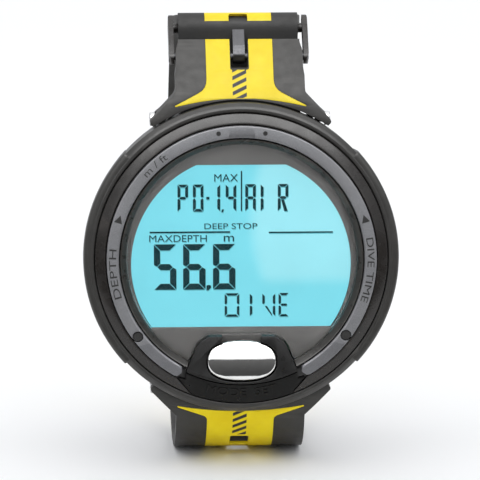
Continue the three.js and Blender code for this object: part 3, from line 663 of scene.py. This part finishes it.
top_row = dict(bottom=10.5, width=2.4, height=6.25, stroke=0.66, space=0.09)
digits = dict(bottom=-7.45, width=5.1, height=10.5, stroke=1.42, space=0.1)
low_row = dict(bottom=-13.8, height=5.45, stroke=0.56, space=0.16)
ink = [
    *character("abefg", -14.45, **top_row), *character("abcdef", -10.95, **top_row),
    *character("bc", -7.15, **top_row), *character("bcfg", -3.5, **top_row),
    *character("abcefg", 0.95, **top_row), *character("ef", 4.45, **top_row),
    *character("abefgk", 8.35, **top_row),
    *character("acdfg", -19.85, **digits), *character("acdefg", -13.2, **digits),
    *character("acdefg", -6.4, **digits),
    *character("abcdef", -3.75, width=3.35, **low_row), *character("ef", 2.0, width=2.0, **low_row),
    *character("fbcm", 4.85, width=2.95, **low_row), *character("adefg", 8.55, width=2.45, **low_row),
    prism(fillet([(-7.9, 13.3), (-7.2, 13.3), (-7.2, 13.9), (-7.9, 13.9)]), ink_front, ink_front + 0.02),
    prism([(-4.5, 10.3), (-4.1, 10.3), (-3.85, 11.0), (-4.4, 11.0)], ink_front, ink_front + 0.02),
    prism(fillet([(-7.9, -7.7), (-7.4, -7.6), (-6.75, -6.9, 0.3), (-7.0, -6.35, 0.3), (-7.9, -6.45, 0.3)]),
          ink_front, ink_front + 0.02),
    prism([(-0.06, 10.6), (0.24, 10.6), (0.24, 19.8), (-0.06, 19.8)], ink_front, ink_front + 0.02),
    prism([(-20.8, 5.6), (-2.5, 5.6), (-2.5, 5.98), (-20.8, 5.98)], ink_front, ink_front + 0.02),
    prism([(6.3, 5.45), (20.9, 5.45), (20.9, 5.8), (6.3, 5.8)], ink_front, ink_front + 0.02),
    display_words("MAX", -6.1, 17.4, 1.7, 5.4),
    display_words("DEEP STOP", -8.36, 6.5, 1.3, 12.05),
    display_words("MAXDEPTH", -20.9, 3.6, 1.55, 13.1),
    display_words("m", -3.95, 3.62, 2.0, 2.35),
]
ink = together(*ink)
# Painted shadow: a copy of the segments, set a little right, down and behind, stands in for the shadow they cast on
# the display.
shadow = ink.copy()
shadow.data = ink.data.copy()
bpy.context.scene.collection.objects.link(shadow)
place(moved(shadow, 0.1, 0.03, -0.24), "lcd_shade", SHADOW)
place(ink, "lcd_segments", INK)

# ---- the button, its surround and the plate below it ----
horseshoe = prism(surround_outline(0, -30), BUTTON_FRONT + 0.2, -14.5)
keep(horseshoe, disc(SURROUND_RADIUS, -20, -10, steps=144))
opening = oval(BUTTON_WIDTH + 2 * GAP, BUTTON_HEIGHT + 2 * GAP, BUTTON_Z)
cut(horseshoe, prism(opening, -20, -10), block(-4.5, 4.5, -20, -10, -20, -17))
place(bevel(horseshoe, 0.45, 50, 3), "horseshoe", HORSESHOE, replaces="button_surround")


def dome():
    """The button's cap: straight sides, a rounded edge and a face curved from top to bottom, tipped up a little."""
    def face(z):
        up = z - BUTTON_Z
        return BUTTON_FRONT + 0.04 + 0.063 * up + up * up / 36

    rows = [(0.0, 1.0)] + [(0.5 * (1 - math.cos(a)), 0.5 * (1 - math.sin(a))) for a in (0.0, 0.35, 0.7, 1.05, 1.35)]
    rows += [(inset, 0.0) for inset in (0.5, 0.8, 1.3, 1.9, 2.6, 3.3, 4.0, 4.4)]
    rings = [[(x, BUTTON_BACK, z) for x, z in oval(BUTTON_WIDTH, BUTTON_HEIGHT, BUTTON_Z)]]
    for inset, depth in rows:
        outline = oval(BUTTON_WIDTH - 2 * inset, BUTTON_HEIGHT - 2 * inset, BUTTON_Z)
        rings.append([(x, face(z) + depth, z) for x, z in outline])
    return loft(rings)


place(dome(), "button", CHROME, body="button", replaces="button_cap", crease=60)


def coil(radius, wire, turns, front, back, steps=110):
    """A wound wire about the button's axis."""
    rings = []
    for i in range(steps + 1):
        a = 2 * math.pi * turns * i / steps
        y = front + (back - front) * i / steps
        rings.append([((radius + u) * math.cos(a), y + v, BUTTON_Z + (radius + u) * math.sin(a))
                      for u, v in circle(wire, 10)])
    return loft(rings)


spring = place(coil(2.85, 0.15, 2.5, -14.75, SPRING_BACK), "press_spring", STEEL, replaces="button_spring")
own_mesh(spring)

plate = revolve(fillet([
    (SURROUND_RADIUS + GAP, RING_SEAT - GAP), (BEZEL_OUTER, RING_SEAT - GAP), (BEZEL_OUTER, -15.95, 0.3),
    (SURROUND_RADIUS + GAP, -17.25, 0.3),
]))
keep(plate, prism(mirrored([(12.0, -20), (12.8, -27.7), (14.8, -27.1, 0.8), (11.05, -31.4, 0.6), (11.05, -40)]), -20, 5))
bevel(plate, 0.12, 50)


def on_ring(obj, radius, middle, surface, rise, tops_out=True):
    """Bends flat lettering round the face, onto a sloping surface."""
    xs = [v.co.x for v in obj.data.vertices]
    centre = (min(xs) + max(xs)) / 2
    way = 1 if tops_out else -1
    for vertex in obj.data.vertices:
        x, y, z = vertex.co
        r = radius + way * z
        a = middle - way * math.degrees((x - centre) / radius)
        vertex.co = polar(r, a, surface(r) + y - rise)
    return obj


def plate_front(radius):
    return -17.25 + (radius - SURROUND_RADIUS - GAP) * 1.3 / (BEZEL_OUTER - SURROUND_RADIUS - GAP)


label = on_ring(words("MODE  SET", 0, -0.85, 1.9, 16.0, rise=0.24), 30.9, -90, plate_front, 0.0, tops_out=False)
place(together(plate, label), "plate", PLATE, replaces="name_plate")

# ---- print on the silver ring ----
printing = [
    on_ring(words("DEPTH", 0, -0.85, 1.6, 11.5), 29.45, 186, trim_front, 0.0),
    on_ring(words("DIVE TIME", 0, -0.85, 1.6, 15.0), 29.45, -5, trim_front, 0.0),
    on_ring(words("m / ft", 0, -0.75, 1.6, 6.6), 29.45, 132, trim_front, 0.0),
]
for angle, way in ((161, 1), (18.5, -1)):
    arrow = prism([(-0.95, -0.9), (0.95, -0.9), (0, 0.95)], -0.02, 0.02)
    arrow.data.transform(Matrix.Rotation(math.radians(90 * way), 4, "Y"))
    printing.append(on_ring(arrow, 29.45, angle, trim_front, 0.0))
for side in (1, -1):
    spot = disc(1.0, -0.02, 0.02)
    printing.append(moved(spot, side * 23.7, -17.97, -17.5))
place(together(*printing), "ring_print", PRINT)
dots = [disc(0.52, trim_front(29.5) - 0.03, -17, side * 5.3, 29.0) for side in (1, -1)]
place(together(*dots), "ring_dots", PRINT)


# ---- strap ----
def spline(places, count):
    """Evenly spaced points on a smooth line through a few (depth, z) places, and its direction at each."""
    p = np.array(places, float)
    p = np.vstack([p[:1], p, p[-1:]])
    fine = []
    for i in range(1, len(p) - 2):
        t = np.linspace(0, 1, 60, endpoint=i == len(p) - 3)[:, None]
        v0, v1 = (p[i + 1] - p[i - 1]) / 2, (p[i + 2] - p[i]) / 2
        fine.append((2 * p[i] - 2 * p[i + 1] + v0 + v1) * t**3
                    + (3 * p[i + 1] - 3 * p[i] - 2 * v0 - v1) * t**2 + v0 * t + p[i])
    fine = np.vstack(fine)
    steps = np.hypot(*np.diff(fine, axis=0).T)
    run = np.concatenate([[0], np.cumsum(steps)])
    even = np.linspace(0, run[-1], count + 1)
    points = np.column_stack([np.interp(even, run, fine[:, k]) for k in (0, 1)])
    ahead = np.gradient(points, axis=0)
    return points, ahead / np.linalg.norm(ahead, axis=1)[:, None]


def layer(line, outer, inner, half, turn):
    """A layer of the strap between two depths below its outer face; a depth may vary along the line."""
    points, ahead = line
    inward = np.column_stack([ahead[:, 1], -ahead[:, 0]]) * turn
    t = np.linspace(0, 1, len(points))
    depths = [np.array([d(v) if callable(d) else d for v in t])[:, None] for d in (outer, inner)]
    sides = [points + inward * d for d in depths]
    return sweep([tuple(p) for p in sides[0]] + [tuple(p) for p in sides[1][::-1]], -half, half)


def thickness(t, reach, thick, thin):
    k = min(1.0, t / reach)
    return thick + (thin - thick) * k * k * (3 - 2 * k)


def inlay_outline(side, end, grow=0.0):
    """The inlay's flare: concave sides running out to two points, and an arc flatter than the case."""
    tip_x, tip_z, shoulder, corner = (14.9, 34.3, 38.2, 3.2) if side > 0 else (14.5, 34.8, 37.6, 1.6)
    middle = 36.15
    foot = [(k * tip_x, middle - (middle - tip_z) * k * k) for k in (0.96, 0.8, 0.6, 0.4, 0.2)]
    return mirrored([
        (INLAY_HALF + grow, side * end), (INLAY_HALF + grow, side * (shoulder + grow), corner),
        (tip_x + grow, side * (tip_z + 0.28 + grow), 0.2), (tip_x + grow, side * (tip_z - grow), 0.2),
        *[(x, side * (z - grow)) for x, z in foot],
    ])


def tongue(side):
    """The knuckle that sits in the case's pocket, round the strap pin."""
    ends = sorted((side * PIN_Z, side * 37.2))
    web = block(-TONGUE_HALF, TONGUE_HALF, PIN_Y - 3.2, PIN_Y + 3.2, *ends)
    return join(rod(3.2, -TONGUE_HALF, TONGUE_HALF, PIN_Y, side * PIN_Z), web)


def case_space():
    return disc(CASE_RADIUS + GAP, -25, 5, steps=ROUND)


upper_line = spline([(-12.3, 29.4), (-12.2, 32.5), (-11.5, 35.8), (-8.9, 39.9), (-5.4, 44.6), (-1.9, 48.6)], 48)


def upper_depth(t):
    return thickness(t, 0.62, 8.2, 4.1) - 160 * max(0.0, t - 0.9) ** 2


SEAM = 0.06
upper = layer(upper_line, 0, upper_depth, 25, 1)
keep(upper, prism(mirrored([
    (13.9, 60), (13.9, 48.0, 2), (14.5, 46.2, 2), (14.5, 42.6, 4), (STRAP_HALF, 41.0, 4), (STRAP_HALF, 37.2, 2.5),
    (20.9, 30.8, 0.8), (19.6, 29.6),
]), -30, 10))
cut(upper, case_space())
join(upper, tongue(1))
cut(upper, *pin_bores(1), rod(1.2, -30, 30, *HINGE))
groove = keep(layer(upper_line, -1, INLAY_THICKNESS, 25, 1), prism(inlay_outline(1, 60, SEAM), -30, 10))
cut(upper, groove, prism(mirrored([(2, 60), (2, 42.3, 0.5)]), -30, 10))
place(bevel(upper, 0.35, 45), "strap_short", RUBBER, replaces="strap_upper")
upper_inlay = keep(layer(upper_line, 0, INLAY_THICKNESS - 0.03, 25, 1), prism(inlay_outline(1, 60), -30, 10))
cut(upper_inlay, case_space(), prism(mirrored([(2.15, 60), (2.15, 42.1, 0.5)]), -30, 10))
place(bevel(upper_inlay, 0.14, 45), "strap_short_inlay", YELLOW, replaces="strap_upper_inlay")


def bar_wrap(degrees, radius=3.6):
    a = math.radians(degrees)
    return FAR_BAR.x + radius * math.sin(a), FAR_BAR.y + radius * math.cos(a)


lower_line = spline([
    (-12.3, -29.4), (-12.2, -32.5), (-11.5, -35.8), (-9.2, -39.7), (-5.0, -43.6), (0.8, -46.4), (8.5, -47.9),
    (18, -47.8), (28, -45.2), (37.5, -39), (45, -28.5), (49.3, -15), (50.2, 0), (47.8, 14.5), (42.2, 28),
    (33.5, 39.3), (23, 47.2), (13.6, 51.9), bar_wrap(35), bar_wrap(0), bar_wrap(-35), bar_wrap(-70),
    (0.8, 49.3), (0.8, 47.2), (0.7, 45.0), (0.1, 42.9), (-0.2, 40.8), (0.3, 38.4), (1.2, 35.6), (2.2, 32.4),
    (2.9, 29.0),
], 252)


def lower_depth(t):
    return thickness(t, 0.07, 8.2, 2.2 + 0.6 * max(0.0, 1 - 3 * t))


def nearest(line, place_at):
    return int(np.argmin(np.hypot(*(line[0] - np.array(place_at)).T)))


slots = [lower_line[0][round(i)] for i in np.linspace(
    nearest(lower_line, (-3.0, -44.9)), nearest(lower_line, bar_wrap(-78)), 15)]
slot_turns = [lower_line[1][round(i)] for i in np.linspace(
    nearest(lower_line, (-3.0, -44.9)), nearest(lower_line, bar_wrap(-78)), 15)]


def slot_cutters(width, length):
    cutters = []
    for (y, z), (ahead_y, ahead_z) in zip(slots, slot_turns):
        outline = fillet([(-width / 2, -length / 2, 0.5), (width / 2, -length / 2, 0.5),
                          (width / 2, length / 2, 0.5), (-width / 2, length / 2, 0.5)], 2)
        cutter = prism(outline, -2.6, 2.0)
        # The cutter's own z runs along the strap and its y through it.
        turn = Matrix(((1, 0, 0), (0, ahead_z, ahead_y), (0, -ahead_y, ahead_z))).to_4x4()
        cutter.data.transform(turn)
        cutters.append(moved(cutter, 0, y - ahead_z, z + ahead_y))
    return cutters


def tail_side(side):
    """What the strap loses on one side where its tail narrows before the buckle."""
    plan = fillet([(side * TAIL_HALF, -1), (side * TAIL_HALF, 7, 4), (side * 15, 13.5), (side * 30, 13.5), (side * 30, -1)])
    return loft([[(x, y, z) for x, y in plan] for z in (27, 60)])


def inlay_space(grow):
    """The inlay's flare at the case, and the straight run that follows it."""
    half = INLAY_HALF + grow
    flared = prism(inlay_outline(-1, 39.6, grow), -30, -2)
    return join(flared, prism(mirrored([(half, -39), (half, -70)]), -30, -2),
                prism(mirrored([(half, 70), (half, -70)]), -2.05, 60))


inlay_end = nearest(lower_line, bar_wrap(-50)) + 1
inlay_line = tuple(part[:inlay_end] for part in lower_line)
lower = layer(lower_line, 0, lower_depth, 25, -1)
flare = prism(mirrored([(19.6, -29.6), (20.9, -30.8, 0.8), (STRAP_HALF, -37.2), (STRAP_HALF, -37.3)]), -30, -2)
keep(lower, join(flare, prism(mirrored([(STRAP_HALF, 70), (STRAP_HALF, -70)]), -30, 60)))
cut(lower, keep(case_space(), block(-60, 60, -26, 0.2, -60, 20)), tail_side(1), tail_side(-1))
join(lower, tongue(-1))
lower_groove = keep(layer(inlay_line, -0.25, INLAY_THICKNESS, 25, -1), inlay_space(SEAM))
cut(lower, *pin_bores(-1), lower_groove, *slot_cutters(4.0, 6.2))
place(bevel(lower, 0.35, 45), "strap_long", TAIL_RUBBER, replaces="strap_lower")
lower_inlay = keep(layer(inlay_line, 0, INLAY_THICKNESS - 0.03, 25, -1), inlay_space(0))
cut(lower_inlay, keep(case_space(), block(-60, 60, -26, 0.2, -60, 20)), *slot_cutters(4.3, 6.5))
place(bevel(lower_inlay, 0.14, 45), "strap_long_inlay", YELLOW, replaces="strap_lower_inlay")


# ---- pins and screws of the strap ----
def spun(profile, y, z, side=1):
    """A (radius, x) profile turned about a line along X."""
    obj = revolve(fillet([(c[0], side * c[1], *c[2:]) for c in profile]), 64)
    obj.data.transform(Matrix.Rotation(math.radians(-90), 4, "Z"))
    return moved(obj, 0, y, z)


for side, end in ((1, "upper"), (-1, "lower")):
    z = side * PIN_Z
    place(spun([(0, -16.8), (0.9, -16.8, 0.15), (0.9, 16.8, 0.15), (0, 16.8)], PIN_Y, z),
          f"pin_{end}", STEEL, replaces=f"strap_pin_{end}")
    for hand, name in ((1, "right"), (-1, "left")):
        screw = spun([(0, 17.1), (0.9, 17.1), (0.9, 19.3), (1.6, 19.3, 0.2), (1.6, 20.6, 0.4), (0, 20.6)],
                     PIN_Y, z, hand)
        ends = sorted((hand * 20.1, hand * 22))
        cut(screw, block(*ends, PIN_Y - 0.25, PIN_Y + 0.25, z - 3, z + 3))
        place(bevel(screw, 0.06, 60), f"screw_{end}_{name}", STEEL,
              replaces=f"strap_pin_screw_{end}_{name}")

# ---- buckle ----
ALONG = (FAR_BAR - HINGE).normalized()
OUTWARD = Vector((-ALONG.y, ALONG.x))
BAR_DISTANCE = (FAR_BAR - HINGE).length


def in_buckle(a, n):
    """A (depth, z) point from its place along the buckle and out of the strap's loop."""
    return tuple(HINGE + ALONG * a + OUTWARD * n)


def buckle_side(corners):
    return fillet([(*in_buckle(a, n), *radius) for a, n, *radius in corners])


def buckle_plan(corners, bottom=-4, top=4):
    """A plate in the buckle's own plane, from its (x, along) outline."""
    obj = prism(fillet(corners), -top, -bottom)
    turn = Matrix(((1, 0, 0), (0, -OUTWARD.x, ALONG.x), (0, -OUTWARD.y, ALONG.y))).to_4x4()
    obj.data.transform(turn)
    return moved(obj, 0, HINGE.x, HINGE.y)


far = BAR_DISTANCE + 3.4
ring = sweep(buckle_side([
    (-1.6, -1.0, 1.2), (-1.6, 1.3, 1.2), (BAR_DISTANCE - 1, 2.0, 3), (far - 0.6, 1.6, 2), (far, 0.4, 1),
    (far, -1.4, 1.2), (-0.8, -1.6, 1),
]), -FRAME_HALF, FRAME_HALF)
keep(ring, buckle_plan(mirrored([(FRAME_HALF, far + 0.2, 1.9), (FRAME_HALF, -1.8, 1.6)])))
cut(ring, block(-FRAME_HALF + FRAME_ARM, FRAME_HALF - FRAME_ARM, -30, 30, 20, 80))
join(ring, rod(1.1, -FRAME_HALF + 0.4, FRAME_HALF - 0.4, *FAR_BAR))
cut(ring, rod(1.2, -30, 30, *HINGE))
place(bevel(ring, 0.28, 50, 3), "buckle_ring", BEZEL, body="buckle", replaces="buckle_frame")
place(spun([(0, -16.0), (0.9, -16.0, 0.3), (0.9, 16.0, 0.3), (0, 16.0)], *HINGE), "hinge_pin", DARK_STEEL,
      replaces="buckle_pin")
reach = BAR_DISTANCE - 0.4
tine = sweep(buckle_side([
    (-1.3, -1.2, 0.5), (-1.6, 0.2, 0.8), (-0.8, 1.6, 0.8), (1.6, 2.1, 1), (reach - 1.5, 2.45, 2),
    (reach, 2.2, 0.3), (reach, 1.5, 0.3), (3.2, 0.5, 3), (1.3, -1.2, 0.8),
]), -1.35, 1.35)
keep(tine, buckle_plan(mirrored([(1.35, reach + 0.1, 0.9), (1.35, -2)])))
cut(tine, rod(1.2, -30, 30, *HINGE))
place(bevel(tine, 0.25, 50, 3), "tine", DARK_STEEL, body="prong", replaces="buckle_prong")

# ---- back ----
cap = revolve(fillet([
    (0, -2.3), (12.4, -2.3), (12.4, -0.95), (CAP_RADIUS, -0.75), (CAP_RADIUS, 0, 0.25), (0, 0),
]), 144)
for side in (1, -1):
    kidney = sector(fillet([(6.6, -1.2, 0.2), (9.4, -1.2, 0.2), (9.4, 1), (6.6, 1)]),
                    90 - side * 90 - 25, 90 - side * 90 + 25, 40)
    cut(cap, kidney)
cut(cap, *[sector([(11.2, -0.18), (11.5, -0.18), (11.5, 1), (11.2, 1)], a, a + 62, 32) for a in (59, 239)])
place(bevel(cap, 0.12, 50), "cap", CASING, body="cap", replaces="battery_cap")
cover = revolve(fillet([(0, -0.9), (4.6, -0.9), (4.6, 0, 0.2), (0, 0)]), 96, 0, SENSOR_Z)
cut(cover, *[disc(0.5, -2, 1, 1.7 * math.cos(math.radians(90 + 120 * i)),
                  SENSOR_Z + 1.7 * math.sin(math.radians(90 + 120 * i)), 32) for i in range(3)])
place(bevel(cover, 0.08, 50), "port_cover", HORSESHOE, replaces="sensor_port_cover")

# ---- CAD pieces that stay ----
STAYS = {
    SEAL: ["lens_seal", "pressure_sensor_seal", "battery_cap_seal", "button_seal", "zebra_strip_upper",
           "zebra_strip_lower"],
    DIFFUSER: ["backlight_diffuser"],
    BOARD: ["circuit_board"],
    CHIP: ["processor_chip"],
    BRASS: ["piezo_buzzer", "battery_contact_negative", "battery_contact_positive"],
    STEEL: ["battery", "quartz_crystal", "pressure_sensor", "switch_dome", "button_stem", "button_clip",
            *[f"board_screw_{i}" for i in (1, 2, 3, 4)]],
}
for material, names in STAYS.items():
    for name in names:
        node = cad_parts[name]
        node.data.materials.clear()
        node.data.materials.append(material)

# ---- floor, light and camera ----
ground = bpy.data.meshes.new("floor")
low = cad_box[0].z - 0.0002
ground.from_pydata([(-6, -4, low), (6, -4, low), (6, 8, low), (-6, 8, low)], [], [(0, 1, 2, 3)])
floor_paint = Paint("floor_white", "", Roughness=0.8)
floor_paint.feed("Base Color", floor_paint.mixed(
    floor_paint.remap(floor_paint.noise(400), 0, 1), (0.9, 0.9, 0.9), (0.93, 0.93, 0.93)))
ground.materials.append(floor_paint.material)
floor = bpy.data.objects.new("floor", ground)
bpy.context.scene.collection.objects.link(floor)


def softbox(name, at, toward, width, height, power):
    light = bpy.data.lights.new(name, "AREA")
    light.shape, light.size, light.size_y, light.energy = "RECTANGLE", width, height, power
    obj = bpy.data.objects.new(name, light)
    obj.location = at
    obj.rotation_euler = (Vector(toward) - Vector(at)).to_track_quat("-Z", "Y").to_euler()
    bpy.context.scene.collection.objects.link(obj)
    return obj


def card(name, corners, brightness):
    """A flat card that only reflections see, as a studio uses to shape the light on glossy parts."""
    mesh = bpy.data.meshes.new(name)
    mesh.from_pydata(corners, [], [(0, 1, 2, 3)])
    paint = Paint(name, "", Roughness=1.0)
    tone = paint.remap(paint.noise(300), 0, 1)
    paint.feed("Base Color", paint.mixed(tone, shade((1, 1, 1), brightness * 0.9), shade((1, 1, 1), brightness)))
    mesh.materials.append(paint.material)
    obj = bpy.data.objects.new(name, mesh)
    bpy.context.scene.collection.objects.link(obj)
    obj.visible_camera = obj.visible_diffuse = obj.visible_transmission = obj.visible_shadow = False


card("dark_card", [(-4, -4, low + 0.001), (4, -4, low + 0.001), (4, -0.062, low + 0.001), (-4, -0.062, low + 0.001)], 0.004)
softbox("overhead", (0, -0.1, 1.0), (0, 0, 0), 1.8, 1.6, 7.5)
softbox("far_floor", (0, 1.6, 1.2), (0, 1.6, 0), 2.4, 1.6, 8)
for name, at, size, power in (("front_gloss", (0, -3, 1.25), (6, 2.6), 46), ("upper_gloss", (0, -0.7, 1.05), (2.2, 0.8), 24)):
    softbox(name, at, (0, 0, 0), *size, power).visible_diffuse = False
world = bpy.data.worlds.new("studio")
world.use_nodes = True
world.node_tree.nodes["Background"].inputs[0].default_value = (0.95, 0.97, 1, 1)
world.node_tree.nodes["Background"].inputs[1].default_value = 0.72
bpy.context.scene.world = world
bpy.context.scene.view_settings.view_transform = "Standard"

ELEVATION, AZIMUTH = math.radians(9), math.radians(-2.7)
turn = Matrix.Rotation(AZIMUTH, 3, "Z")
ahead = turn @ Vector((0, math.cos(ELEVATION), -math.sin(ELEVATION)))
above = turn @ Vector((0, math.sin(ELEVATION), math.cos(ELEVATION)))
lens_data = bpy.data.cameras.new("camera")
lens_data.sensor_width, lens_data.lens = 36, 396
camera = bpy.data.objects.new("camera", lens_data)
camera.location = Vector((-0.0004, -0.017, 0)) + above * 0.00441 - ahead * 1.2
camera.rotation_euler = (math.pi / 2 - ELEVATION, 0, AZIMUTH)
bpy.context.scene.collection.objects.link(camera)
bpy.context.scene.camera = camera

bpy.context.view_layer.update()
